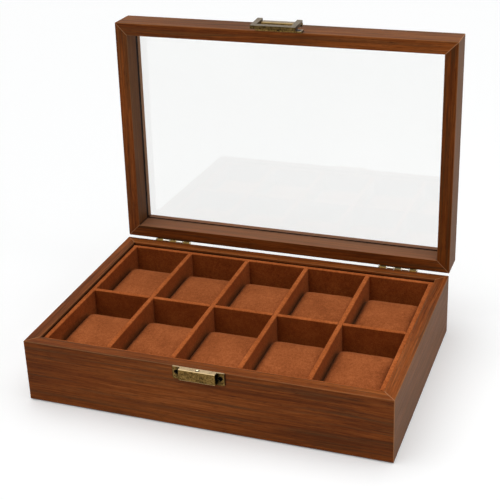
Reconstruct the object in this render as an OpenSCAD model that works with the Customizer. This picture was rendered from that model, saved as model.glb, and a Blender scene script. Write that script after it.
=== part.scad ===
// Watch display box: a mitred wooden case with a glass lid that stands open, a lined
// tray of ten compartments, a lift-out cushion in each, two butt hinges and a loop clasp.
// Millimetres. X runs along the front, Y to the back, Z up. The origin is the middle of
// the underside. Lid pieces are drawn closed, on the base, and then swung open.

/* [Case] */
// Width of the case along its front
case_w = 300; // [260:1:360]
// Depth of the case from front to back
case_d = 202; // [170:1:260]
// Height of the rim of the base above the table
base_h = 54.5; // [50:0.5:75]
// Height of the lid frame
lid_h = 28; // [24:0.5:40]
// Thickness of the wooden walls
wall_t = 10; // [9:0.5:13]
// Radius of the eased wood edges
edge_r = 0.6; // [0.4:0.1:1.4]
// Thickness of the floor board
floor_t = 4; // [3:0.5:6]
// Width of the rabbet that holds the floor board
rabbet_w = 5; // [3:0.5:6]
// Thickness of the felt under the case
felt_t = 0.8; // [0.5:0.1:1.5]
// How far the felt stays back from the outer edge
felt_inset = 2; // [1:0.5:4]

/* [Lid] */
// Angle at which the open lid rests on the hinge stops
open_angle = 91.5; // [90:0.5:100]
// Gap between the closed lid and the rim of the base
seam_gap = 0.15; // [0.1:0.05:0.4]
// Width of the rails of the lid frame
rail_t = 11; // [9:0.5:14]
// Thickness of the glass
glass_t = 2; // [1.5:0.25:3]
// Distance from the outer face of the lid to the glass
glass_drop = 6.5; // [4:0.5:9]
// Depth of the groove that holds the glass
groove_d = 4; // [2.5:0.5:5]

/* [Tray] */
// Thickness of the lined boards and dividers
board_t = 4; // [2:0.5:4.5]
// Radius along the top edges of the boards
board_edge_r = 0.7; // [0.4:0.1:0.9]
// Thickness of the lined tray floor
tray_floor_t = 2; // [1.5:0.5:4]
// How far the boards stay below the rim
tray_drop = 2.5; // [1:0.5:6]
// Gap between the tray and the case walls
tray_gap = 0.5; // [0.3:0.1:1.2]
// Clearance each side in the slots where dividers cross
slot_gap = 0.1; // [0.05:0.05:0.3]

/* [Cushions] */
// Height of a cushion in the middle
cushion_h = 34.5; // [22:0.5:38]
// Gap between a cushion and the boards at its sides
cushion_side_gap = 0.3; // [0.2:0.1:1.5]
// Gap between a cushion and the boards at its ends
cushion_end_gap = 7.5; // [1:0.5:10]
// Rise of the crown from the long edges to the middle
cushion_side_crown = 1.2; // [0.6:0.1:3]
// Rise of the crown from the short edges to the middle
cushion_end_crown = 2; // [1:0.5:4]
// Radius along the long edges of a cushion
cushion_side_r = 3; // [2:0.5:8]
// Radius along the short edges of a cushion
cushion_end_r = 17; // [8:0.5:19]
// Radius of a cushion's corners seen from above
cushion_corner_r = 6; // [4:0.5:12]

/* [Hinges] */
// Length of a hinge along the back
hinge_w = 33; // [26:1:45]
// Distance from the side of the case to the middle of a hinge
hinge_inset = 44.5; // [30:0.5:70]
// Thickness of a hinge leaf
leaf_t = 0.7; // [0.6:0.1:1]
// Height of a leaf from the hinge axis
leaf_h = 12; // [10:0.5:15]
// Radius of the hinge knuckles
barrel_r = 1.2; // [1.15:0.05:2]
// Radius of the hinge pin
hinge_pin_r = 0.5; // [0.4:0.05:0.55]
// Gap between two knuckles
knuckle_gap = 0.9; // [0.2:0.1:1.4]

/* [Clasp] */
// Width of the catch plate on the base
plate_w = 42; // [40:0.5:50]
// Height of the catch plate on the base
plate_h = 10.5; // [10:0.5:13]
// Thickness of the clasp plates
plate_t = 1.2; // [0.8:0.1:1.5]
// Width of the catch block, and of the block above it
block_w = 29.5; // [26:0.5:30]
// Height of the catch block
catch_h = 9.3; // [8.5:0.1:10]
// Depth of the catch block from the wood
catch_d = 4.8; // [4.4:0.1:5.2]
// Height of the loop's pivot above the seam
pivot_up = 3.6; // [3.4:0.1:4.2]
// Distance of the loop's pivot from the wood
pivot_out = 6.3; // [6:0.1:7]
// Height of the block on the lid
lid_block_h = 7; // [6.6:0.1:9]
// Outer width of the loop
loop_w = 39.2; // [36:0.1:42]
// Width of the loop's front bar
loop_bar = 4.6; // [3:0.1:5]
// Thickness of the loop
loop_t = 3; // [1.8:0.1:3.4]
// Radius of the loop's pivot pin
clasp_pin_r = 0.8; // [0.6:0.05:0.9]
// Tilt of the loop when it is hooked under the catch
latch_tilt = 17; // [14:0.5:18]
// Radius of the catch ball
ball_r = 1.8; // [1.5:0.05:1.85]

/* [Screws] */
// Radius of a screw's shank
screw_r = 0.95; // [0.8:0.05:1.1]
// Radius of a screw's head
head_r = 1.9; // [1.7:0.05:2.1]
// Length of a screw
screw_l = 8; // [6:0.5:8.5]

/* [Hidden] */
$fn = 64;

// The four sides of the case, each a quarter turn on from the one before
SIDES = ["front", "right", "back", "left"];
COLUMNS = 5;

// Clearances and small allowances
run_gap = 0.05;
press_gap = 0.03;
soft_gap = 0.2;
cut = 1;

// Levels
lid_z = base_h + seam_gap;
floor_top = felt_t + floor_t;
tray_floor_top = floor_top + tray_floor_t;
tray_top = base_h - tray_drop;
slot_z = (tray_floor_top + tray_top) / 2;
glass_z = lid_z + lid_h - glass_drop - glass_t;

// Tray: inside of the case, inside of the tray and the compartments
tray_w = case_w - 2 * (wall_t + tray_gap);
tray_d = case_d - 2 * (wall_t + tray_gap);
inner_w = tray_w - 2 * board_t;
inner_d = tray_d - 2 * board_t;
pitch_x = (inner_w + board_t) / COLUMNS;
pitch_y = (inner_d + board_t) / 2;

// Cushions
cushion_w = pitch_x - board_t - 2 * cushion_side_gap;
cushion_l = pitch_y - board_t - 2 * cushion_end_gap;
end_r = min(cushion_end_r, 0.495 * cushion_h);

// Hinges
hinge_y = case_d / 2 + barrel_r;
hinge_z = base_h + seam_gap / 2;
hinge_x = case_w / 2 - hinge_inset;
KNUCKLES = 5;
knuckle_w = hinge_w / KNUCKLES;
leaf_start = barrel_r + run_gap;
leaf_screw_z = (leaf_start + leaf_h) / 2;
leaf_screw_x = hinge_w / 3;
pin_head_t = 0.8;
pin_head_r = barrel_r - 0.15;
stop_reach = 2.2;
stop_t = 1.5;

// Clasp
clasp_y = -case_d / 2;
catch_edge_r = 0.4;
block_edge_r = 1;
ball_out = catch_d / 2;
ball_bore_r = ball_r + run_gap;
lip_t = 0.25;
lip_r = ball_r - 0.1;
ball_z = base_h - lip_t - run_gap / 2 - sqrt(pow(ball_r, 2) - pow(lip_r, 2));
ball_up = ball_z + ball_r - base_h;
bore_bottom_t = 1.3;
bore_floor = base_h - catch_h + bore_bottom_t;
plate_z = lid_z + seam_gap;
ear_r = 2.3;
block_wall = 0.5;
block_d = pivot_out + clasp_pin_r + block_wall;
ball_hole_r = ball_r + 0.1;
ball_hole_d = ball_up + 1;
lid_plate_w = loop_w + 0.8;
plate_top = plate_z + lid_block_h;
plate_screw_z = (plate_z + plate_top) / 2;
plate_screw_x = (lid_plate_w + block_w) / 4;
catch_screw_z = base_h - catch_h / 2;
catch_screw_x = (plate_w + block_w) / 4;
loop_side_gap = 0.25;
loop_lift = 0.2;
pass_gap = 0.35;
latch_gap = 0.25;
window_l = (pivot_up + catch_h + latch_gap) / cos(latch_tilt);
loop_l = window_l + loop_bar;
loop_tilt = asin((pivot_out + loop_lift - catch_d - pass_gap) / loop_l);
arm_w = loop_w / 2 - block_w / 2 - loop_side_gap;
clasp_head_t = 0.6;
clasp_head_r = 1.4;

// Ball spring
wire_r = 0.22;
coil_r = 1.2;
coils = 5;
spring_bottom = bore_floor + run_gap + wire_r;
spring_top = ball_z - sqrt(pow(ball_r + wire_r + run_gap, 2) - pow(coil_r, 2));

// ---- Shapes that several pieces share ----

// Rectangle from the origin with its corners rounded
module rounded_rect(size, r) {
    translate([r, 0]) square([size.x - 2 * r, size.y]);
    translate([0, r]) square([size.x, size.y - 2 * r]);
    for (x = [r, size.x - r], y = [r, size.y - r])
        translate([x, y]) circle(r);
}

// Runs a profile drawn as depth and height along X, centred
module along_x(length) {
    translate([-length / 2, 0, 0])
        rotate([90, 0, 90])
            linear_extrude(length) children();
}

// Cylinder along X, centred
module rod_x(r, length) {
    rotate([0, 90, 0]) cylinder(r = r, h = length, center = true);
}

function quarter_turns(side) = search([side], SIDES)[0];
function is_long(side) = side == "front" || side == "back";

// Turns a piece drawn at the front to another side
module turned_to(side) {
    rotate([0, 0, 90 * quarter_turns(side)]) children();
}

// One side of a mitred frame of boards: the child profile, cut at 45 degrees at both ends
module mitred_side(side, thick) {
    length = is_long(side) ? case_w : case_d;
    reach = (is_long(side) ? case_d : case_w) / 2;
    turned_to(side) translate([0, -reach, 0]) intersection() {
        along_x(length) children();
        linear_extrude(lid_z + lid_h + cut) intersection() {
            polygon([
                [-length / 2, 0], [length / 2, 0],
                [length / 2 - thick, thick], [thick - length / 2, thick]
            ]);
            translate([-length / 2, 0]) rounded_rect([length, 2 * thick], edge_r);
        }
    }
}

// Swings a lid piece, drawn closed, about the hinge axis to its open rest
module opened() {
    translate([0, hinge_y, hinge_z])
        rotate([-open_angle, 0, 0])
            translate([0, -hinge_y, -hinge_z]) children();
}

// Countersunk screw that points down, with its head flush at z = 0
module screw() {
    slot_w = 0.5;
    slot_d = 0.7;
    tip = 1.5;
    difference() {
        rotate_extrude() polygon([
            [0, 0], [head_r, 0], [screw_r, screw_r - head_r],
            [screw_r, tip - screw_l], [0, -screw_l]
        ]);
        for (turn = [0, 90])
            rotate([0, 0, turn])
                translate([-head_r * 0.6, -slot_w / 2, -slot_d])
                    cube([head_r * 1.2, slot_w, slot_d + cut]);
    }
}

// What a screw cuts from the plate and the wood
module screw_hole() {
    rotate_extrude() polygon([
        [0, cut], [head_r + run_gap, cut], [head_r + run_gap, 0],
        [screw_r + run_gap, screw_r - head_r],
        [screw_r + run_gap, -screw_l - run_gap], [0, -screw_l - run_gap]
    ]);
}

// Places for the hinge screws: up is 1 on the lid and -1 on the base
module at_hinge_screws(up) {
    for (side = [-1, 1], place = [-1, 0, 1])
        translate([
            side * hinge_x + place * leaf_screw_x,
            case_d / 2 + leaf_t,
            hinge_z + up * leaf_screw_z
        ]) rotate([-90, 0, 0]) children();
}

// Places for the two screws of a clasp plate
module at_clasp_screws(x, z) {
    for (side = [-1, 1])
        translate([side * x, clasp_y - plate_t, z])
            rotate([90, 0, 0]) children();
}

module at_catch_screws() {
    at_clasp_screws(catch_screw_x, catch_screw_z) children();
}

module at_plate_screws() {
    at_clasp_screws(plate_screw_x, plate_screw_z) children();
}

// ---- Case ----

module base_profile() {
    difference() {
        translate([0, felt_t]) rounded_rect([wall_t, base_h - felt_t], edge_r);
        translate([wall_t - rabbet_w, 0]) square([rabbet_w + cut, floor_top]);
    }
}

module base_wall(side) {
    color("sienna") difference() {
        mitred_side(side, wall_t) base_profile();
        if (side == "front") at_catch_screws() screw_hole();
        if (side == "back") at_hinge_screws(-1) screw_hole();
    }
}

module floor_board() {
    width = case_w - 2 * (wall_t - rabbet_w + slot_gap);
    depth = case_d - 2 * (wall_t - rabbet_w + slot_gap);
    color("peru")
        translate([-width / 2, -depth / 2, felt_t]) cube([width, depth, floor_t]);
}

module bottom_felt() {
    width = case_w - 2 * felt_inset;
    depth = case_d - 2 * felt_inset;
    color("saddlebrown")
        translate([-width / 2, -depth / 2, 0]) cube([width, depth, felt_t]);
}

// ---- Tray ----

// Profile of a lined board, with rounded top edges, centred on x = 0
module board_profile() {
    height = tray_top - tray_floor_top;
    translate([-board_t / 2, tray_floor_top]) {
        rounded_rect([board_t, height], board_edge_r);
        square([board_t, height / 2]);
    }
}

module board(length) {
    along_x(length) board_profile();
}

module tray_floor() {
    color("chocolate")
        translate([-tray_w / 2, -tray_d / 2, floor_top])
            cube([tray_w, tray_d, tray_floor_t]);
}

module tray_board(side) {
    reach = ((is_long(side) ? tray_d : tray_w) - board_t) / 2;
    color("chocolate")
        turned_to(side)
            translate([0, -reach, 0]) board(is_long(side) ? tray_w : inner_d);
}

function divider_x(number) = (number - COLUMNS / 2) * pitch_x;

module long_divider() {
    slot = board_t + 2 * slot_gap;
    color("chocolate") difference() {
        board(inner_w);
        for (number = [1 : COLUMNS - 1])
            translate([divider_x(number) - slot / 2, -slot, slot_z - slot_gap])
                cube([slot, 2 * slot, base_h]);
    }
}

module cross_divider(number) {
    slot = board_t + 2 * slot_gap;
    color("chocolate") translate([divider_x(number), 0, 0]) difference() {
        rotate([0, 0, 90]) board(inner_d);
        translate([-slot, -slot / 2, 0]) cube([2 * slot, slot, slot_z + slot_gap]);
    }
}

// ---- Cushions ----

// Section of a cushion: flat below, rounded corners and a shallow crown
module cushion_profile(width, r, crown) {
    crown_r = (pow(width / 2, 2) + pow(crown, 2)) / (2 * crown);
    intersection() {
        translate([-width / 2, 0]) rounded_rect([width, cushion_h], r);
        translate([0, cushion_h - crown_r]) circle(crown_r, $fn = 128);
    }
}

module cushion(number) {
    column = (number - 1) % COLUMNS;
    row = floor((number - 1) / COLUMNS);
    x = (column - (COLUMNS - 1) / 2) * pitch_x;
    y = (row - 0.5) * pitch_y;
    color("peru") translate([x, y, tray_floor_top + soft_gap]) intersection() {
        along_x(cushion_w)
            cushion_profile(cushion_l, end_r, cushion_end_crown);
        rotate([0, 0, 90])
            along_x(cushion_l)
                cushion_profile(cushion_w, cushion_side_r, cushion_side_crown);
        translate([-cushion_w / 2, -cushion_l / 2, 0])
            linear_extrude(cushion_h)
                rounded_rect([cushion_w, cushion_l], cushion_corner_r);
    }
}

// ---- Lid ----

module lid_profile() {
    difference() {
        translate([0, lid_z]) rounded_rect([rail_t, lid_h], edge_r);
        translate([rail_t - groove_d, glass_z - slot_gap])
            square([groove_d + cut, glass_t + 2 * slot_gap]);
    }
}

module lid_rail(side) {
    color("sienna") opened() difference() {
        mitred_side(side, rail_t) lid_profile();
        if (side == "front") at_plate_screws() screw_hole();
        if (side == "back") at_hinge_screws(1) screw_hole();
    }
}

module glass_pane() {
    width = case_w - 2 * (rail_t - groove_d + slot_gap);
    depth = case_d - 2 * (rail_t - groove_d + slot_gap);
    color("lightblue", 0.4) opened()
        translate([-width / 2, -depth / 2, glass_z]) cube([width, depth, glass_t]);
}

// ---- Hinges ----

// One leaf of a hinge, hanging down from the axis, with its share of the knuckles
module hinge_leaf(knuckle_list) {
    difference() {
        union() {
            translate([-hinge_w / 2, -barrel_r, -leaf_h])
                cube([hinge_w, leaf_t, leaf_h - leaf_start]);
            for (k = knuckle_list)
                translate([(k - (KNUCKLES - 1) / 2) * knuckle_w, 0, 0]) {
                    rod_x(barrel_r, knuckle_w - knuckle_gap);
                    translate([(knuckle_gap - knuckle_w) / 2, -barrel_r, -leaf_start])
                        cube([knuckle_w - knuckle_gap, leaf_t, leaf_start]);
                }
        }
        rod_x(hinge_pin_r + run_gap, hinge_w + cut);
    }
}

// Lug on the middle knuckle that the opened lid leaf lies on
module hinge_stop() {
    width = knuckle_w - knuckle_gap;
    difference() {
        rotate([-open_angle, 0, 0])
            translate([-width / 2, leaf_t - barrel_r + run_gap, barrel_r / 2])
                cube([width, stop_t, barrel_r / 2 + stop_reach]);
        rod_x(hinge_pin_r + run_gap, hinge_w + cut);
    }
}

module hinge_base_leaf(side) {
    color("goldenrod") difference() {
        translate([side * hinge_x, hinge_y, hinge_z]) {
            hinge_leaf([0, 2, 4]);
            hinge_stop();
        }
        at_hinge_screws(-1) screw_hole();
    }
}

module hinge_lid_leaf(side) {
    color("goldenrod") opened() difference() {
        translate([side * hinge_x, hinge_y, hinge_z])
            mirror([0, 0, 1]) hinge_leaf([1, 3]);
        at_hinge_screws(1) screw_hole();
    }
}

module hinge_pin(side) {
    color("darkgoldenrod") translate([side * hinge_x, hinge_y, hinge_z]) {
        rod_x(hinge_pin_r, hinge_w + 2 * run_gap);
        for (end = [-1, 1])
            translate([end * (hinge_w + pin_head_t) / 2, 0, 0])
                rod_x(pin_head_r, pin_head_t);
    }
}

module hinge_base_screws() {
    color("darkgoldenrod") at_hinge_screws(-1) screw();
}

module hinge_lid_screws() {
    color("darkgoldenrod") opened() at_hinge_screws(1) screw();
}

// ---- Clasp ----

// Clasp plate against the wood, from one height to another
module clasp_backing(width, bottom, top) {
    translate([-width / 2, clasp_y - plate_t, bottom])
        cube([width, plate_t, top - bottom]);
}

// Clasp block against the wood, with its long edges rounded
module clasp_block(depth, bottom, top, r) {
    translate([0, clasp_y - depth, bottom])
        along_x(block_w) rounded_rect([depth, top - bottom], r);
}

module clasp_catch() {
    color("olive") difference() {
        union() {
            clasp_backing(plate_w, base_h - plate_h, base_h);
            clasp_block(catch_d, base_h - catch_h, base_h, catch_edge_r);
        }
        translate([0, clasp_y - ball_out, bore_floor]) {
            cylinder(r = ball_bore_r, h = base_h - lip_t - bore_floor);
            cylinder(r = lip_r, h = catch_h);
        }
        at_catch_screws() screw_hole();
    }
}

module catch_screws() {
    color("dimgray") at_catch_screws() screw();
}

module catch_ball() {
    color("khaki") translate([0, clasp_y - ball_out, ball_z]) sphere(ball_r);
}

// Point on the coil's wire: ring along the coil, corner around the wire
function wire_point(ring, corner, rings, corners) =
    let (
        turn = 360 * coils * ring / rings,
        corner_angle = 360 * corner / corners,
        reach = coil_r + wire_r * cos(corner_angle),
        z = spring_bottom + (spring_top - spring_bottom) * ring / rings
    )
    [reach * cos(turn), reach * sin(turn), z + wire_r * sin(corner_angle)];

module ball_spring() {
    corners = 5;
    rings = 8 * coils;
    points = [
        for (ring = [0 : rings], corner = [0 : corners - 1])
            wire_point(ring, corner, rings, corners)
    ];
    sides = [
        for (ring = [0 : rings - 1], corner = [0 : corners - 1])
            let (next = (corner + 1) % corners)
            [
                ring * corners + corner, ring * corners + next,
                (ring + 1) * corners + next, (ring + 1) * corners + corner
            ]
    ];
    start = [for (corner = [corners - 1 : -1 : 0]) corner];
    end = [for (corner = [0 : corners - 1]) rings * corners + corner];
    color("silver") translate([0, clasp_y - ball_out, 0])
        polyhedron(points, concat([start], sides, [end]));
}

module clasp_plate() {
    color("olive") opened() difference() {
        union() {
            clasp_backing(lid_plate_w, plate_z, plate_top);
            clasp_block(block_d, plate_z, plate_top, block_edge_r);
        }
        translate([0, clasp_y - pivot_out, base_h + pivot_up])
            rod_x(clasp_pin_r + press_gap, block_w + cut);
        translate([0, clasp_y - ball_out, plate_z - cut])
            cylinder(r = ball_hole_r, h = ball_hole_d + cut);
        at_plate_screws() screw_hole();
    }
}

module plate_screws() {
    color("darkgoldenrod") opened() at_plate_screws() screw();
}

module clasp_pin() {
    color("darkgoldenrod") opened()
        translate([0, clasp_y - pivot_out, base_h + pivot_up]) {
            rod_x(clasp_pin_r, loop_w + 2 * run_gap);
            for (end = [-1, 1])
                translate([end * (loop_w / 2 + run_gap + clasp_head_t / 2), 0, 0])
                    rod_x(clasp_head_r, clasp_head_t);
        }
}

// The loop hangs down from its pivot, tilted in until its bar just passes the catch
module clasp_loop() {
    window_w = block_w + 2 * loop_side_gap;
    color("olive") opened()
        translate([0, clasp_y - pivot_out, base_h + pivot_up])
            rotate([loop_tilt, 0, 0]) difference() {
                union() {
                    translate([-loop_w / 2, -loop_lift - loop_t, -loop_l])
                        cube([loop_w, loop_t, loop_l + ear_r]);
                    rod_x(ear_r, loop_w);
                }
                translate([-window_w / 2, -loop_t * 3, -window_l])
                    cube([window_w, loop_t * 6, window_l + 2 * ear_r]);
                rod_x(clasp_pin_r + run_gap, loop_w + cut);
            }
}

bottom_felt();
floor_board();
base_wall("front");  // base_front_wall
base_wall("right");  // base_right_wall
base_wall("back");  // base_back_wall
base_wall("left");  // base_left_wall
tray_floor();
tray_board("front");  // tray_front_board
tray_board("right");  // tray_right_board
tray_board("back");  // tray_back_board
tray_board("left");  // tray_left_board
long_divider();
cross_divider(1);  // cross_divider_1
cross_divider(2);  // cross_divider_2
cross_divider(3);  // cross_divider_3
cross_divider(4);  // cross_divider_4
cushion(1);  // cushion_1
cushion(2);  // cushion_2
cushion(3);  // cushion_3
cushion(4);  // cushion_4
cushion(5);  // cushion_5
cushion(6);  // cushion_6
cushion(7);  // cushion_7
cushion(8);  // cushion_8
cushion(9);  // cushion_9
cushion(10);  // cushion_10
lid_rail("front");  // lid_front_rail
lid_rail("right");  // lid_right_rail
lid_rail("back");  // lid_back_rail
lid_rail("left");  // lid_left_rail
glass_pane();
hinge_base_leaf(-1);  // left_hinge_base_leaf
hinge_lid_leaf(-1);  // left_hinge_lid_leaf
hinge_pin(-1);  // left_hinge_pin
hinge_base_leaf(1);  // right_hinge_base_leaf
hinge_lid_leaf(1);  // right_hinge_lid_leaf
hinge_pin(1);  // right_hinge_pin
hinge_base_screws();
hinge_lid_screws();
clasp_catch();
catch_screws();
catch_ball();
ball_spring();
clasp_plate();
plate_screws();
clasp_pin();
clasp_loop();
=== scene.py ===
"""Looks of the watch display box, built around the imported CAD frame. Metres, Z up."""

import math
import random

import bpy
import numpy as np
from mathutils import Matrix, Vector


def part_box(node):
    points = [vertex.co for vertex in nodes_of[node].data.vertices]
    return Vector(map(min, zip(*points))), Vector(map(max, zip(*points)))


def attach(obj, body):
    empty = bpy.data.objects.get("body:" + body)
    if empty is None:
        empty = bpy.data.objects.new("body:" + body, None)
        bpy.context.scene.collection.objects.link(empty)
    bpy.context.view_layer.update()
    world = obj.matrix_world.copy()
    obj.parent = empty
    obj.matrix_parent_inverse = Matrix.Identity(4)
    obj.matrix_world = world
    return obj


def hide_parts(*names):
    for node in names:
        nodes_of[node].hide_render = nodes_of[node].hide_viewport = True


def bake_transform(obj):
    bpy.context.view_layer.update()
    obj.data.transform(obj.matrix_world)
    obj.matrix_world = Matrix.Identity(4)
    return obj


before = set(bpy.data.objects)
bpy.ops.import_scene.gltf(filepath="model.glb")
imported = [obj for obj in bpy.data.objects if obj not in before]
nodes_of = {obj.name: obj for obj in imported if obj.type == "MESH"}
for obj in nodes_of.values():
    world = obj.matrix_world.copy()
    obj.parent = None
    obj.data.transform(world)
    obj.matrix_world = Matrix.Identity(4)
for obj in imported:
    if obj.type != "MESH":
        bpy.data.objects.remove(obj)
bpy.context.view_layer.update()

MM = 0.001
X, Y, Z = 0, 1, 2
scene = bpy.context.scene

# Camera: sensor and lens in millimetres, shift in sensor widths, angles in degrees
SENSOR = 36
LENS = 85.982
SHIFT_X = 0.06
SHIFT_Y = -0.06
AZIMUTH = 21.79
ELEVATION = 24.306
ROLL = -2.807
AIM = Vector((-17.038, 0, 131.397)) * MM
DISTANCE = 957.642 * MM
NEAREST = 0.01
FARTHEST = 50

# Wide soft box above: direction, full strength, and the angles between which it fades out
SOFT_BOX = (-0.18, -0.03, 1.0)
SOFT_BOX_STRENGTH = 1.72
SOFT_BOX_INNER = math.radians(28)
SOFT_BOX_OUTER = math.radians(60)
# Light from everywhere else
AMBIENT = 0.05
# Weak lamp at the right: place, aim, length of a side, and watts
LAMP_PLACE = Vector((0.5, -0.05, 0.42))
LAMP_AIM = Vector((0.1, 0, 0.05))
LAMP_SIDE = 0.3
LAMP_POWER = 0.5
# Floor: half its width, its colour, and its glow where it is seen
FLOOR_REACH = 6.0
FLOOR_COLOR = (0.86, 0.866, 0.868, 1)
FLOOR_GLOW = 0.185

# Bevels: the least angle that counts as a sharp edge, and their widths
SHARP = math.radians(40)
BOARD_EDGE = 0.15 * MM
HINGE_EDGE = 0.12 * MM
CLASP_EDGE = 0.4 * MM


def add_object(name, data):
    made = bpy.data.objects.new(name, data)
    scene.collection.objects.link(made)
    return made


# ---- Camera ----

def camera_axes():
    """The camera's right, up and backward directions."""
    az, el, tilt = (math.radians(v) for v in (AZIMUTH, ELEVATION, ROLL))
    back = Vector((math.sin(az) * math.cos(el), -math.cos(az) * math.cos(el), math.sin(el)))
    right = (-back).cross(Vector((0, 0, 1))).normalized()
    up = right.cross(-back)
    tilted_right = right * math.cos(tilt) + up * math.sin(tilt)
    tilted_up = up * math.cos(tilt) - right * math.sin(tilt)
    return tilted_right, tilted_up, back


def add_camera():
    data = bpy.data.cameras.new("camera")
    data.sensor_width = SENSOR
    data.lens = LENS
    data.shift_x = SHIFT_X
    data.shift_y = SHIFT_Y
    data.clip_start = NEAREST
    data.clip_end = FARTHEST
    camera = add_object("camera", data)
    axes = camera_axes()
    turn = Matrix(axes).transposed().to_4x4()
    camera.matrix_world = Matrix.Translation(AIM + axes[2] * DISTANCE) @ turn
    scene.camera = camera
    scene.view_settings.view_transform = "Standard"


# ---- Node trees ----

# An edge shows as the product of two parts of the surface's direction rises between these values
EDGE_FACING = (0.08, 0.3)


def srgb(red, green, blue):
    """Linear colour of an 8-bit display colour."""
    def linear(v):
        v /= 255
        return v / 12.92 if v <= 0.04045 else ((v + 0.055) / 1.055) ** 2.4
    return tuple(linear(v) for v in (red, green, blue))


def opaque(color):
    """A plain colour with its alpha, or a node's output as it is."""
    return color if isinstance(color, bpy.types.NodeSocket) else (*color, 1)


class Nodes:
    """A node tree, emptied, and short calls for the nodes that the world and the materials use."""

    def __init__(self, tree):
        self.tree = tree
        tree.nodes.clear()

    def node(self, kind, inputs=None, **settings):
        made = self.tree.nodes.new(kind)
        for key, value in settings.items():
            setattr(made, key, value)
        for key, value in (inputs or {}).items():
            self.put(made.inputs[key], value)
        return made

    def put(self, socket, value):
        """Links a node's output to a socket, or sets the socket to a plain value."""
        if isinstance(value, bpy.types.NodeSocket):
            self.tree.links.new(value, socket)
        else:
            socket.default_value = value

    def math(self, operation, a, b=0.0, c=0.0):
        return self.node("ShaderNodeMath", {0: a, 1: b, 2: c}, operation=operation).outputs[0]

    def dot(self, a, b):
        return self.node("ShaderNodeVectorMath", {0: a, 1: b}, operation="DOT_PRODUCT").outputs["Value"]

    def largest(self, first, *others):
        for value in others:
            first = self.math("MAXIMUM", first, value)
        return first

    def weighted(self, *parts):
        """The sum of (value, weight) pairs."""
        total = 0.0
        for value, weight in parts:
            total = self.math("MULTIPLY_ADD", value, weight, total)
        return total

    def span(self, value, ends, low=0.0, high=1.0, **settings):
        """Low up to the first end, high from the second end on, and rising or falling between them."""
        made = self.node("ShaderNodeMapRange", {
            "Value": value, "From Min": ends[0], "From Max": ends[1], "To Min": low, "To Max": high},
            clamp=True, **settings)
        return made.outputs[0]

    def light_path(self):
        return self.node("ShaderNodeLightPath").outputs


class Shader(Nodes):
    """A material's node tree, built from the Principled shader backwards."""

    def __init__(self, name, seed=0, step=(0, 0, 0)):
        self.material = bpy.data.materials.new(name)
        self.material.use_nodes = True
        super().__init__(self.material.node_tree)
        self.bsdf = self.node("ShaderNodeBsdfPrincipled")
        self.surface = self.node("ShaderNodeOutputMaterial").inputs["Surface"]
        self.put(self.surface, self.bsdf.outputs[0])
        place = self.node("ShaderNodeTexCoord").outputs
        self.coords = place["Object"]
        self.normal = place["Normal"]
        self.shift = tuple(seed * part for part in step)

    def set(self, **values):
        """Sets the Principled shader's sockets, such as Roughness or Base_Color."""
        for key, value in values.items():
            self.put(self.bsdf.inputs[key.replace("_", " ")], value)

    def noise(self, scale, detail, rough=0.5, distortion=0.0, coords=None, shift=None):
        """Noise with that many features to the metre: one number for all axes, or one for each."""
        scale = scale if isinstance(scale, tuple) else (scale,) * 3
        place = self.node("ShaderNodeMapping", {
            "Vector": coords or self.coords, "Scale": scale, "Location": shift or self.shift})
        made = self.node("ShaderNodeTexNoise", {
            "Vector": place.outputs[0], "Scale": 1.0, "Detail": detail,
            "Roughness": rough, "Distortion": distortion})
        return made.outputs["Fac"]

    def ramp(self, value, stops):
        made = self.node("ShaderNodeValToRGB", {"Fac": value})
        band = made.color_ramp.elements
        while len(band) < len(stops):
            band.new(0.5)
        for element, (place, color) in zip(band, stops):
            element.position = place
            element.color = opaque(color)
        return made.outputs["Color"]

    def mix(self, factor, a, b, blend="MIX"):
        """Mixes two colours. The Mix node has them at inputs 6 and 7, and the result at output 2."""
        made = self.node(
            "ShaderNodeMix", {0: factor, 6: opaque(a), 7: opaque(b)}, data_type="RGBA", blend_type=blend)
        return made.outputs[2]

    def openness(self, reach, samples, only_local=False):
        """1 in the open, down to 0 where other surfaces close in within that reach."""
        made = self.node(
            "ShaderNodeAmbientOcclusion", {"Distance": reach}, samples=samples, only_local=only_local)
        return made.outputs["AO"]

    def normal_parts(self):
        """The x, y and z parts of the surface's own direction."""
        return self.node("ShaderNodeSeparateXYZ", {0: self.normal}).outputs

    def rounded_edges(self):
        """1 where the surface faces between two axes, as the bevelled edges of a board do."""
        x, y, z = self.normal_parts()
        products = [self.math("ABSOLUTE", self.math("MULTIPLY", a, b)) for a, b in ((x, y), (y, z), (x, z))]
        return self.span(self.largest(*products), EDGE_FACING)

    def bump(self, height, strength, distance):
        made = self.node("ShaderNodeBump", {"Height": height, "Strength": strength, "Distance": distance})
        self.set(Normal=made.outputs[0])


# ---- Walnut ----

# A face is taken to face an axis as the part of its direction along it rises between these values
FACING = (0.5, 0.9)
# The least part of its direction that points to the pane on a board's inner face
FACING_IN = 0.5
# How far apart two boards lie in the figure
BOARD_STEP = (3.7, 5.3, 2.9)
# How far the grain wanders from a straight line, from side to side
SWAY_WIDTH = 8 * MM
# Features to the metre along and across the grain, then the noise's detail and roughness
SWAY_LAYER = (5, 16, 2.0, 0.5)
CLOUD_LAYER = (6, 34, 2.0, 0.5)
BAND_LAYER = (6, 270, 3.0, 0.6)
STREAK_LAYER = (22, 820, 3.0, 0.65)
SMOKE_LAYER = (8, 380, 4.0, 0.65)
FIBRE_LAYER = (60, 2400, 2.0, 0.5)
PORES_LAYER = (150, 3200, 1.0, 0.5)
# The wood's colours, and the values of the figure that they belong to
FIGURE = [
    (0.41, srgb(92, 46, 17)), (0.48, srgb(118, 59, 21)),
    (0.54, srgb(136, 71, 26)), (0.62, srgb(154, 86, 38))]
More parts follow.
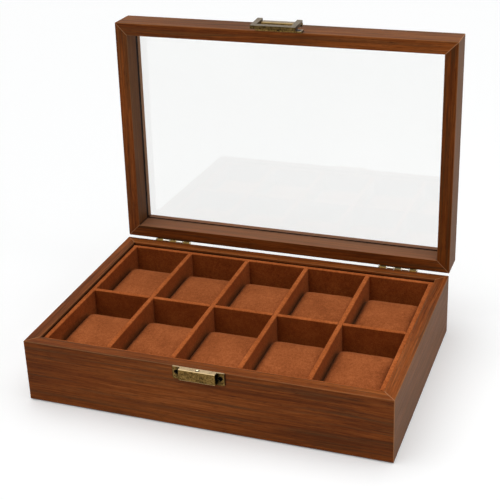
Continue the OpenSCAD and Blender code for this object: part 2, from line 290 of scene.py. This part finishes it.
# Grey-brown streaks and dark pores: the values between which they come in, and how strong they get
SMOKE_AT = (0.5, 0.66)
SMOKE_MOST = 0.72
SMOKE = srgb(88, 59, 33)
PORES_AT = (0.58, 0.72)
PORES_MOST = 0.6
PORES = srgb(54, 27, 11)
# Roughness of the dark and of the pale streaks, and how much the wood shines
ROUGH_AT = (0.3, 0.7)
WOOD_ROUGH = 0.6
WOOD_SATIN = 0.5
WOOD_SHINE = 0.06
# The side boards' cheeks have a flatter figure and a greyer tone, a painted reflection of the bright
# studio, and the lid's front gets a greyer painted reflection of the sky outside
CHEEK_REFLECTION_MIX = 0.5
CHEEK_REFLECTION = srgb(122, 84, 56)
CHEEK_REFLECTION_TONE = (0.9, 1.02, 1.06)
FRONT_REFLECTION_TONE = (0.89, 1.1, 1.3)
# Paler wood along the edges: a painted highlight on their rounding
EDGE_HIGHLIGHT_MIX = 0.3
EDGE_HIGHLIGHT = srgb(176, 122, 78)
# The dark line in the seams between boards, a painted shade where surfaces close in, and how far from where
# they meet it starts
SEAM_SHADE_REACH = 1.6 * MM
SEAM_SHADE_AT = (0.6, 0.96)
SEAM_SHADE_MOST = 0.92
SEAM_SHADE = srgb(24, 12, 6)
# The pale line of glue in a mitre, which is a slanted face of more than that area
MITRE_WIDTH = 0.5 * MM
MITRE_MIX = 0.32
MITRE = srgb(180, 132, 94)
MITRE_SLANT = 0.6
MITRE_AREA = 50 * MM * MM
# The dark line along the pane, a painted shade where the pane sits in the rail, and the strip of paler wood
# behind the pane
PANE_SHADE_WIDTH = 2.2 * MM
PANE_SHADE = srgb(24, 12, 6)
STRIP_FROM = -8 * MM
STRIP_TO = -2 * MM
STRIP_MIX = 0.5
STRIP = srgb(206, 158, 120)
# The lower rail is seen from above: its inner face, which looks up, is paler and greyer, a painted
# reflection of the sky, and its painted shade line along the pane is faint
LOWER_RAIL = "lid_back_rail"
SKY_REFLECTION_MIX = 0.34
SKY_REFLECTION = srgb(172, 132, 104)
FAINT_PANE_SHADE_MIX = 0.3
FAINT_PANE_SHADE = srgb(56, 32, 18)

# Each board's grain axis, and the tone that its colour is multiplied by. The right wall's paler, bluer tone
# is a painted reflection of the studio, and the lid's right rail's darker tone is painted shade
PLAIN = (1.0, 1.0, 1.0)
BOARDS = {
    "base_front_wall": (X, (1.0, 1.0, 1.05)),
    # Painted reflection: paler and bluer
    "base_right_wall": (Y, (1.1, 1.1, 1.3)),
    "base_back_wall": (X, PLAIN),
    "base_left_wall": (Y, PLAIN),
    "lid_front_rail": (X, PLAIN),
    # Painted shade: darker
    "lid_right_rail": (Z, (0.76, 0.73, 0.62)),
    "lid_back_rail": (X, (0.95, 0.95, 0.95)),
    "lid_left_rail": (Z, PLAIN)}


def stretched(axis, along, across):
    """Features to the metre: one number along an axis and another across it."""
    return tuple(along if i == axis else across for i in range(3))


def layer(s, point, toward, low, high):
    """1 where the object's coordinates lie between two distances from a plane."""
    offset = s.node("ShaderNodeVectorMath", {0: s.coords, 1: point}, operation="SUBTRACT")
    ahead = s.dot(offset.outputs[0], toward)
    return s.math("MULTIPLY", s.math("GREATER_THAN", ahead, low), s.math("LESS_THAN", ahead, high))


def glazing(s, color, board):
    """Adds what shows of the glazing on a lid board's inner face: a line of painted shade along the pane
    and a paler strip behind it, and on the lower rail a painted reflection of the sky with a fainter line.
    """
    pane = nodes_of["glass_pane"]
    source = nodes_of[board]
    # The pane's inner face looks forward while the lid is open
    face = min(pane.data.polygons, key=lambda polygon: polygon.normal.y)
    to_board = source.matrix_world.inverted() @ pane.matrix_world
    toward = (to_board.to_3x3() @ face.normal).normalized()
    point = to_board @ face.center
    middle = sum((Vector(corner) for corner in source.bound_box), Vector()) / 8
    inner = s.math("GREATER_THAN", s.dot(s.normal, (point - middle).normalized()), FACING_IN)
    # Painted shade: a dark line along the pane on the inner face
    pane_shade = s.math("MULTIPLY", inner, layer(s, point, toward, -PANE_SHADE_WIDTH / 2, PANE_SHADE_WIDTH))
    if board == LOWER_RAIL:
        # Painted reflection: the up-facing inner face is paler and greyer as if it mirrored the sky
        color = s.mix(s.math("MULTIPLY", inner, SKY_REFLECTION_MIX), color, SKY_REFLECTION)
        return s.mix(s.math("MULTIPLY", pane_shade, FAINT_PANE_SHADE_MIX), color, FAINT_PANE_SHADE)
    strip = s.math("MULTIPLY", inner, layer(s, point, toward, STRIP_FROM, STRIP_TO))
    color = s.mix(s.math("MULTIPLY", strip, STRIP_MIX), color, STRIP)
    return s.mix(pane_shade, color, PANE_SHADE)


def mitre_lines(s, color, board):
    """Adds the thin pale line that shows where two boards meet at 45 degrees."""
    for face in nodes_of[board].data.polygons:
        slant = sorted(abs(part) for part in face.normal)
        if slant[1] > MITRE_SLANT and face.area > MITRE_AREA:
            line = layer(s, face.center, face.normal, -MITRE_WIDTH / 2, MITRE_WIDTH / 2)
            color = s.mix(s.math("MULTIPLY", line, MITRE_MIX), color, MITRE)
    return color


def walnut(board, axis, tone, seed):
    """Satin walnut with its grain along one axis. Each board has its own piece of the figure."""
    s = Shader("walnut_" + board, seed, BOARD_STEP)

    def figure(layer_sizes, coords, shift=None):
        along, across, detail, rough = layer_sizes
        return s.noise(stretched(axis, along, across), detail, rough, coords=coords, shift=shift)

    sway = s.math("MULTIPLY_ADD", figure(SWAY_LAYER, s.coords), SWAY_WIDTH, -SWAY_WIDTH / 2)
    offset = s.node("ShaderNodeCombineXYZ", {i: sway for i in range(3) if i != axis}).outputs[0]
    grain = s.node("ShaderNodeVectorMath", {0: s.coords, 1: offset}, operation="ADD").outputs[0]
    cloud = figure(CLOUD_LAYER, grain)
    band = figure(BAND_LAYER, grain)
    streak = figure(STREAK_LAYER, grain)
    fibre = figure(FIBRE_LAYER, grain)
    smoke = figure(SMOKE_LAYER, grain, shift=s.shift[::-1])
    pores = s.span(figure(PORES_LAYER, grain), PORES_AT, high=PORES_MOST)
    color = s.ramp(s.weighted((band, 0.36), (cloud, 0.18), (streak, 0.36), (fibre, 0.1)), FIGURE)
    color = s.mix(s.span(smoke, SMOKE_AT, high=SMOKE_MOST), color, SMOKE)
    color = s.mix(pores, color, PORES)
    color = s.mix(1.0, color, tone, "MULTIPLY")
    # Painted reflection: the cheeks are greyer, as if they mirrored the bright studio
    if axis != X:
        cheek_reflection = s.span(s.math("ABSOLUTE", s.normal_parts()[X]), FACING)
        color = s.mix(s.math("MULTIPLY", cheek_reflection, CHEEK_REFLECTION_MIX), color, CHEEK_REFLECTION)
        color = s.mix(cheek_reflection, color, CHEEK_REFLECTION_TONE, "MULTIPLY")
    # Painted reflection: the lid front's outer face, which looks up while the lid is open, is greyer and
    # bluer as if it mirrored the sky
    if board == "lid_front_rail":
        color = s.mix(s.span(s.normal_parts()[Z], FACING), color, FRONT_REFLECTION_TONE, "MULTIPLY")
    color = mitre_lines(s, color, board)
    if board.startswith("lid"):
        color = glazing(s, color, board)
    # Painted highlight along the rounded edges
    color = s.mix(s.math("MULTIPLY", s.rounded_edges(), EDGE_HIGHLIGHT_MIX), color, EDGE_HIGHLIGHT)
    # Painted shade in the seams between boards, where other surfaces close in
    seam_shade = s.span(s.openness(SEAM_SHADE_REACH, samples=8), SEAM_SHADE_AT, SEAM_SHADE_MOST, 0.0)
    color = s.mix(seam_shade, color, SEAM_SHADE)
    s.set(Base_Color=color, Roughness=s.span(streak, ROUGH_AT, WOOD_ROUGH, WOOD_SATIN))
    s.set(Specular_IOR_Level=WOOD_SHINE)
    s.bump(s.math("MULTIPLY_ADD", pores, -0.8, fibre), strength=0.12, distance=0.3 * MM)
    return s.material


# ---- Suede and felt ----

# How far apart two suedes lie in the noise, and the noise's values for their three colours
SUEDE_STEP = (1.3, 2.1, 0.7)
SUEDE_STOPS = (0.38, 0.5, 0.62)
# The shade in the compartments' corners, and how far from a corner it starts
CORNER_REACH = 9 * MM
CORNER_AT = (0.25, 0.65)
CORNER_MOST = 0.66
CORNER = srgb(34, 13, 3)
SHEEN = (0.9, 0.45, 0.22, 1)


def suede(name, colors, seed, shade_slopes, shade_facing_x, shade_facing_y):
    """Short-napped suede in three colours, from dark to light.

    Where its face is tilted it gets painted shade, with one tone facing X and another facing Y. The
    argument shade_slopes gives the upward parts of its direction between which that comes in.
    """
    s = Shader(name, seed, SUEDE_STEP)
    brushed = s.noise((45, 35, 45), detail=3.0, distortion=0.4)
    mottle = s.noise((420, 340, 420), detail=3.0, rough=0.6)
    nap = s.noise(1100, detail=2.0, rough=0.8)
    value = s.weighted((brushed, 0.27), (mottle, 0.28), (nap, 0.45))
    color = s.ramp(value, list(zip(SUEDE_STOPS, colors)))
    x, y, z = s.normal_parts()
    sideways = s.math("GREATER_THAN", s.math("ABSOLUTE", x), s.math("ABSOLUTE", y))
    # Painted shade on tilted faces, one tone facing X and another facing Y
    shade = s.mix(sideways, shade_facing_y, shade_facing_x)
    color = s.mix(s.span(z, shade_slopes, 1.0, 0.0), color, shade, "MULTIPLY")
    corner = s.span(s.openness(CORNER_REACH, samples=6), CORNER_AT, CORNER_MOST, 0.0)
    color = s.mix(corner, color, CORNER)
    s.set(Base_Color=color, Roughness=0.95, Specular_IOR_Level=0.06)
    s.set(Sheen_Weight=0.12, Sheen_Roughness=0.5, Sheen_Tint=SHEEN)
    s.bump(s.math("MULTIPLY_ADD", nap, 0.8, mottle), strength=0.3, distance=0.4 * MM)
    return s.material


def felt():
    s = Shader("felt")
    fuzz = s.noise(900, detail=4.0, rough=0.8)
    color = s.ramp(fuzz, [(0.35, srgb(34, 22, 15)), (0.65, srgb(62, 42, 30))])
    s.set(Base_Color=color, Roughness=1.0, Specular_IOR_Level=0.1)
    s.bump(fuzz, strength=0.5, distance=0.4 * MM)
    return s.material


# ---- Metals ----

# How far apart two brasses lie in the noise, and the noise's values for their three colours
BRASS_STEP = (1, 2, 3)
BRASS_STOPS = (0.4, 0.5, 0.62)
# Dirt and painted shade in the recesses, how far from another face it starts, and how dark it is
RECESS_REACH = 5 * MM
RECESS_AT = (0.74, 1.0)
RECESS_DARK = 0.18
# A tone painted on the tops, painted light where it is pale and painted shade where it is dark: noise
# values between which it comes through, and how much it is at least and at most
PAINTED_TOP_AT = (0.38, 0.52)
PAINTED_TOP_LEAST = 0.45
PAINTED_TOP_MOST = 0.95
# How bare the edges get
BARE_MOST = 0.9
# Roughness of the darkest and the lightest patches, added to a metal's own
PATCHES_AT = (0.35, 0.65)
DARK_PATCH = 0.14
LIGHT_PATCH = -0.08

# Patinas, from dark to light, and the bare metal of worn edges
ANTIQUE = [srgb(52, 39, 16), srgb(106, 82, 42), srgb(140, 112, 64)]
TARNISHED = [srgb(32, 24, 11), srgb(76, 59, 30), srgb(112, 90, 52)]
GOLD = [srgb(226, 178, 74), srgb(252, 210, 104), srgb(255, 232, 160)]
PALE = [srgb(150, 126, 76), srgb(190, 166, 112), srgb(220, 200, 152)]
BLACKENED = [srgb(2, 2, 1), srgb(5, 4, 2), srgb(12, 9, 5)]
WORN = srgb(226, 198, 146)
# A face is taken for a top as the upward part of its direction rises between these values
CLASP_TOP = (0.75, 0.95)
HINGE_TOP = (0.0, 0.5)


def brass(name, colors, seed, roughness=0.36, metallic=1.0, painted_top=None, edge=None, top=CLASP_TOP):
    """Antique brass: a speckled patina, darkest in recesses with dirt and painted shade, a painted light or
    shade on top as its top tone is pale or dark, and another tone along edges.
    """
    s = Shader(name, seed, BRASS_STEP)
    cloud = s.noise(170, detail=2.0)
    speck = s.noise(750, detail=3.0, rough=0.75)
    brush = s.noise(stretched(X, 150, 2600), detail=2.0)
    value = s.weighted((cloud, 0.25), (speck, 0.55), (brush, 0.2))
    color = s.ramp(value, list(zip(BRASS_STOPS, colors)))
    out_of_recess = s.span(s.openness(RECESS_REACH, samples=8, only_local=True), RECESS_AT)
    # Dirt and painted shade in the recesses
    color = s.mix(out_of_recess, tuple(RECESS_DARK * part for part in colors[0]), color)
    # Painted light or shade on the upward faces, as the top tone is pale or dark
    if painted_top:
        upward = s.span(s.normal_parts()[Z], top, high=PAINTED_TOP_MOST)
        patchy = s.math("MULTIPLY", upward, s.span(value, PAINTED_TOP_AT, PAINTED_TOP_LEAST))
        color = s.mix(s.math("MULTIPLY", patchy, out_of_recess), color, painted_top)
    if edge:
        bare = s.math("MULTIPLY", s.rounded_edges(), out_of_recess)
        color = s.mix(s.math("MULTIPLY", bare, BARE_MOST), color, edge)
    s.set(Base_Color=color, Metallic=metallic)
    s.set(Roughness=s.span(value, PATCHES_AT, roughness + DARK_PATCH, roughness + LIGHT_PATCH))
    s.bump(s.math("MULTIPLY_ADD", brush, 0.5, speck), strength=0.15, distance=0.2 * MM)
    return s.material


def steel():
    """Polished steel, with painted shade on its sides, where it sits in its seat."""
    s = Shader("steel")
    smear = s.noise(900, detail=3.0)
    color = s.ramp(smear, [(0.3, srgb(228, 214, 176)), (0.7, srgb(250, 238, 204))])
    # Painted shade on the faces that do not look up
    color = s.mix(s.span(s.normal_parts()[Z], (0.7, 0.8)), srgb(10, 8, 4), color)
    s.set(Base_Color=color, Metallic=1.0)
    s.set(Roughness=s.span(smear, (0.3, 0.7), low=0.12, high=0.22))
    return s.material


# ---- Glass and plywood ----

def clear_glass():
    """Clear pane. Shadow rays and diffuse rays go straight through it, a little dimmed."""
    s = Shader("clear_glass")
    haze = s.noise(9, detail=3.0)
    s.set(Base_Color=s.ramp(haze, [(0.3, (0.935, 0.937, 0.93)), (0.7, (0.95, 0.952, 0.943))]))
    s.set(Roughness=0.0, IOR=1.5, Transmission_Weight=1.0)
    clear = s.node("ShaderNodeBsdfTransparent", {"Color": (0.93, 0.94, 0.935, 1)})
    path = s.light_path()
    either = s.largest(path["Is Shadow Ray"], path["Is Diffuse Ray"])
    mixed = s.node("ShaderNodeMixShader", {0: either, 1: s.bsdf.outputs[0], 2: clear.outputs[0]})
    s.put(s.surface, mixed.outputs[0])
    return s.material


def plywood():
    s = Shader("plywood")
    grain = s.noise(stretched(X, 5, 180), detail=3.0)
    color = s.ramp(grain, [(0.35, srgb(150, 112, 74)), (0.65, srgb(190, 152, 108))])
    s.set(Base_Color=color, Roughness=0.7)
    s.bump(grain, strength=0.1, distance=0.3 * MM)
    return s.material


# ---- Dressing the CAD nodes ----

def dress(name, material):
    mesh = nodes_of[name].data
    mesh.materials.clear()
    mesh.materials.append(material)


def soften(name, width, segments):
    """Bevels the sharp edges of a CAD node as it is drawn."""
    bevel = nodes_of[name].modifiers.new("soft_edges", "BEVEL")
    bevel.width = width
    bevel.segments = segments
    bevel.limit_method = "ANGLE"
    bevel.angle_limit = SHARP


def dress_boards():
    for seed, (name, (axis, tone)) in enumerate(BOARDS.items(), 1):
        dress(name, walnut(name, axis, tone, seed))
        soften(name, BOARD_EDGE, segments=1)


def dress_tray(material):
    boards = ["tray_%s_board" % side for side in ("front", "right", "back", "left")]
    dividers = ["long_divider"] + ["cross_divider_%d" % number for number in range(1, 5)]
    for name in ["tray_floor"] + boards + dividers:
        dress(name, material)


def dress_fittings():
    """Gives the clasp and the hinges their brasses, and the screws a blackened one."""
    # The clasp's paler tops are painted light
    plate = brass("plate_brass", ANTIQUE, seed=2, painted_top=srgb(140, 122, 94), edge=srgb(158, 134, 92))
    clasp = {
        "clasp_catch": brass("antique_brass", ANTIQUE, seed=1, painted_top=srgb(206, 180, 140), edge=WORN),
        "clasp_loop": brass("loop_brass", TARNISHED, seed=3, painted_top=srgb(118, 104, 80), edge=WORN),
        "clasp_plate": plate,
        "clasp_pin": plate}
    for name, material in clasp.items():
        dress(name, material)
        soften(name, CLASP_EDGE, segments=2)
    # The gold knuckles' dark upper halves are painted shade, and the pale knuckles' white tops are a
    # painted highlight
    gold = brass(
        "gold_brass", GOLD, seed=5, roughness=0.25, metallic=0.3, painted_top=srgb(20, 16, 10), top=HINGE_TOP)
    pale = brass("pale_brass", PALE, seed=6, roughness=0.2, painted_top=srgb(244, 242, 236), top=HINGE_TOP)
    for side in ("left", "right"):
        for part, material in (("base_leaf", gold), ("lid_leaf", pale), ("pin", pale)):
            name = "%s_hinge_%s" % (side, part)
            dress(name, material)
            soften(name, HINGE_EDGE, segments=2)
    black = brass("blackened_brass", BLACKENED, seed=7, roughness=0.5)
    for name in ("hinge_base_screws", "hinge_lid_screws", "plate_screws", "catch_screws"):
        dress(name, black)


# ---- Cushions ----

# Edge of the even quads, and the starting size as a part of the CAD cushion's
VOXEL = 2.6 * MM
START_SIZE = (0.985, 0.98, 0.97)
# Cloth: its settings, frames, pressure, the pressure's spread, and the most that a point may move
CLOTH = {
    "quality": 6, "mass": 0.3, "tension_stiffness": 18, "compression_stiffness": 8,
    "shear_stiffness": 6, "bending_stiffness": 0.6}
FRAMES = 20
PRESSURE = 3.0
PRESSURE_SPREAD = 0.1
MOST_MOVE = 2.5 * MM
# Gap beside a cushion, and the way over which its sides flatten
SIDE_GAP = 0.7 * MM
SIDE_EASE = 0.6 * MM
# How far its edges lie below its middle, as a part of its height. A higher power falls off later
CROWN = 0.18
CROWN_POWER_X = 8
CROWN_POWER_Y = 5
# Seed of the random draws before the first cushion's
FIRST_SEED = 40
# Stands in for a move of nothing, which can't be divided by
TINY = 1e-9


def copy_of(node, name):
    """A new piece in the form and the place of a CAD node."""
    source = nodes_of[node]
    mesh = source.data.copy()
    mesh.transform(source.matrix_world)
    return add_object(name, mesh)


def apply_modifiers(piece):
    """Turns what the modifiers make of a piece into its own mesh."""
    graph = bpy.context.evaluated_depsgraph_get()
    mesh = bpy.data.meshes.new_from_object(piece.evaluated_get(graph))
    old = piece.data
    piece.modifiers.clear()
    piece.data = mesh
    bpy.data.meshes.remove(old)


def remesh(piece):
    """Gives a piece even quads, for the cloth."""
    even = piece.modifiers.new("even", "REMESH")
    even.mode = "VOXEL"
    even.voxel_size = VOXEL
    apply_modifiers(piece)


def points_of(piece):
    return np.array([vert.co[:] for vert in piece.data.vertices])


def put_points(piece, points):
    for vert, point in zip(piece.data.vertices, points):
        vert.co = point


def inflate(piece, pressure):
    """Where the piece's points lie once it is blown up as cloth, none of them moved too far."""
    start = points_of(piece)
    cloth = piece.modifiers.new("cloth", "CLOTH")
    for key, value in CLOTH.items():
        setattr(cloth.settings, key, value)
    cloth.settings.use_pressure = True
    cloth.settings.uniform_pressure_force = pressure
    cloth.settings.effector_weights.gravity = 0
    cloth.point_cache.frame_start = 1
    cloth.point_cache.frame_end = FRAMES
    for step in range(1, FRAMES + 1):
        scene.frame_set(step)
    apply_modifiers(piece)
    scene.frame_set(1)
    move = points_of(piece) - start
    far = np.linalg.norm(move, axis=1, keepdims=True)
    return start + move * np.minimum(1.0, MOST_MOVE / np.maximum(far, TINY))


def soft_limit(values, limit, ease):
    """Flattens what swells past a limit, easing into it over a short way."""
    excess = np.maximum(np.abs(values) - (limit - ease), 0)
    held = limit - ease + ease * (1 - np.exp(-excess / ease))
    return np.sign(values) * np.where(excess > 0, held, np.abs(values))


def seated(points, half):
    """The swollen points, from the middle of the pad, as its compartment and its crown shape them.

    The boards press the sides flat, and the pad is as long and as high as the CAD cushion.
    """
    offset = points - (points.max(0) + points.min(0)) / 2
    offset[:, X] = soft_limit(offset[:, X], half[X] - SIDE_GAP, SIDE_EASE)
    offset[:, Y] *= half[Y] / np.abs(offset[:, Y]).max()
    across, along = (np.abs(offset[:, axis] / half[axis]) for axis in (X, Y))
    offset[:, Z] *= 1 - CROWN * (across ** CROWN_POWER_X + along ** CROWN_POWER_Y)
    offset[:, Z] *= half[Z] / np.abs(offset[:, Z]).max()
    return offset


def build_cushion(number, material):
    """A suede pad that fills its compartment from side to side, where the CAD node lies."""
    node = "cushion_%d" % number
    low, high = (np.array(corner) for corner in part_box(node))
    centre = (low + high) / 2
    piece = copy_of(node, "pad_%d" % number)
    remesh(piece)
    put_points(piece, centre + (points_of(piece) - centre) * START_SIZE)
    points = points_of(piece)
    draw = random.Random(FIRST_SEED + number)
    points = inflate(piece, PRESSURE * draw.uniform(1 - PRESSURE_SPREAD, 1 + PRESSURE_SPREAD))
    put_points(piece, centre + seated(points, (high - low) / 2))
    smooth = piece.modifiers.new("smooth", "SUBSURF")
    smooth.levels = 1
    smooth.render_levels = 1
    for polygon in piece.data.polygons:
        polygon.use_smooth = True
    piece.data.materials.clear()
    piece.data.materials.append(material)
    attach(piece, node)
    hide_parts(node)


# ---- Spring ----


def build_spring():
    """The coil under the ball, a copy of the CAD spring that takes its place."""
    spring = copy_of("ball_spring", "coil_spring")
    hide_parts("ball_spring")
    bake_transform(spring)


# ---- Stage ----

def add_floor():
    """A white floor. It glows a little where it is seen, so that it runs into the white studio."""
    mesh = bpy.data.meshes.new("floor")
    corners = [(x * FLOOR_REACH, y * FLOOR_REACH, 0) for x, y in ((-1, -1), (1, -1), (1, 1), (-1, 1))]
    mesh.from_pydata(corners, [], [(0, 1, 2, 3)])
    floor = add_object("floor", mesh)
    s = Shader("floor_white")
    s.set(Base_Color=FLOOR_COLOR, Roughness=0.9, Specular_IOR_Level=0.0)
    path = s.light_path()
    seen = s.largest(path["Is Camera Ray"], path["Is Glossy Ray"], path["Is Transmission Ray"])
    strength = s.math("MULTIPLY", seen, FLOOR_GLOW)
    glow = s.node("ShaderNodeEmission", {"Color": (1, 1, 1, 1), "Strength": strength})
    added = s.node("ShaderNodeAddShader", {0: s.bsdf.outputs[0], 1: glow.outputs[0]})
    s.put(s.surface, added.outputs[0])
    mesh.materials.append(s.material)


def add_world():
    """A studio lit by a wide soft box above. It is white where it is seen, also through glass."""
    world = bpy.data.worlds.new("studio")
    scene.world = world
    world.use_nodes = True
    w = Nodes(world.node_tree)
    sky = w.node("ShaderNodeTexCoord").outputs["Generated"]
    toward = w.dot(sky, Vector(SOFT_BOX).normalized())
    fade = (math.cos(SOFT_BOX_OUTER), math.cos(SOFT_BOX_INNER))
    above = w.span(toward, fade, high=SOFT_BOX_STRENGTH, interpolation_type="SMOOTHSTEP")
    path = w.light_path()
    white = w.largest(path["Is Camera Ray"], path["Is Transmission Ray"])
    mirrored = w.largest(w.math("ADD", above, AMBIENT), path["Is Glossy Ray"])
    strength = w.node("ShaderNodeMix", {0: white, 2: mirrored, 3: 1.0}, data_type="FLOAT").outputs[0]
    shader = w.node("ShaderNodeBackground", {"Color": (1, 1, 1, 1), "Strength": strength})
    w.node("ShaderNodeOutputWorld", {"Surface": shader.outputs[0]})


def add_side_light():
    data = bpy.data.lights.new("side_light", "AREA")
    data.shape = "SQUARE"
    data.size = LAMP_SIDE
    data.energy = LAMP_POWER
    lamp = add_object("side_light", data)
    lamp.location = LAMP_PLACE
    lamp.rotation_euler = (LAMP_AIM - LAMP_PLACE).to_track_quat("-Z", "Y").to_euler()


# ---- Build ----

add_camera()
add_world()
add_side_light()
add_floor()

dress_boards()
tray_colors = [srgb(140, 70, 31), srgb(168, 88, 42), srgb(194, 108, 56)]
dress_tray(suede(
    "tray_suede", tray_colors, seed=2, shade_slopes=(0.3, 0.9),
    shade_facing_x=(0.9, 0.83, 0.66), shade_facing_y=(0.7, 0.63, 0.45)))
dress("bottom_felt", felt())
dress("floor_board", plywood())
dress("glass_pane", clear_glass())
dress_fittings()

polished = steel()
dress("catch_ball", polished)
dress("ball_spring", polished)
build_spring()

cushion_colors = [srgb(128, 66, 32), srgb(152, 82, 42), srgb(176, 99, 55)]
cushion_suede = suede(
    "cushion_suede", cushion_colors, seed=5, shade_slopes=(0.8, 0.985),
    shade_facing_x=(0.62, 0.56, 0.46), shade_facing_y=(0.72, 0.66, 0.56))
for number in range(1, 11):
    build_cushion(number, cushion_suede)
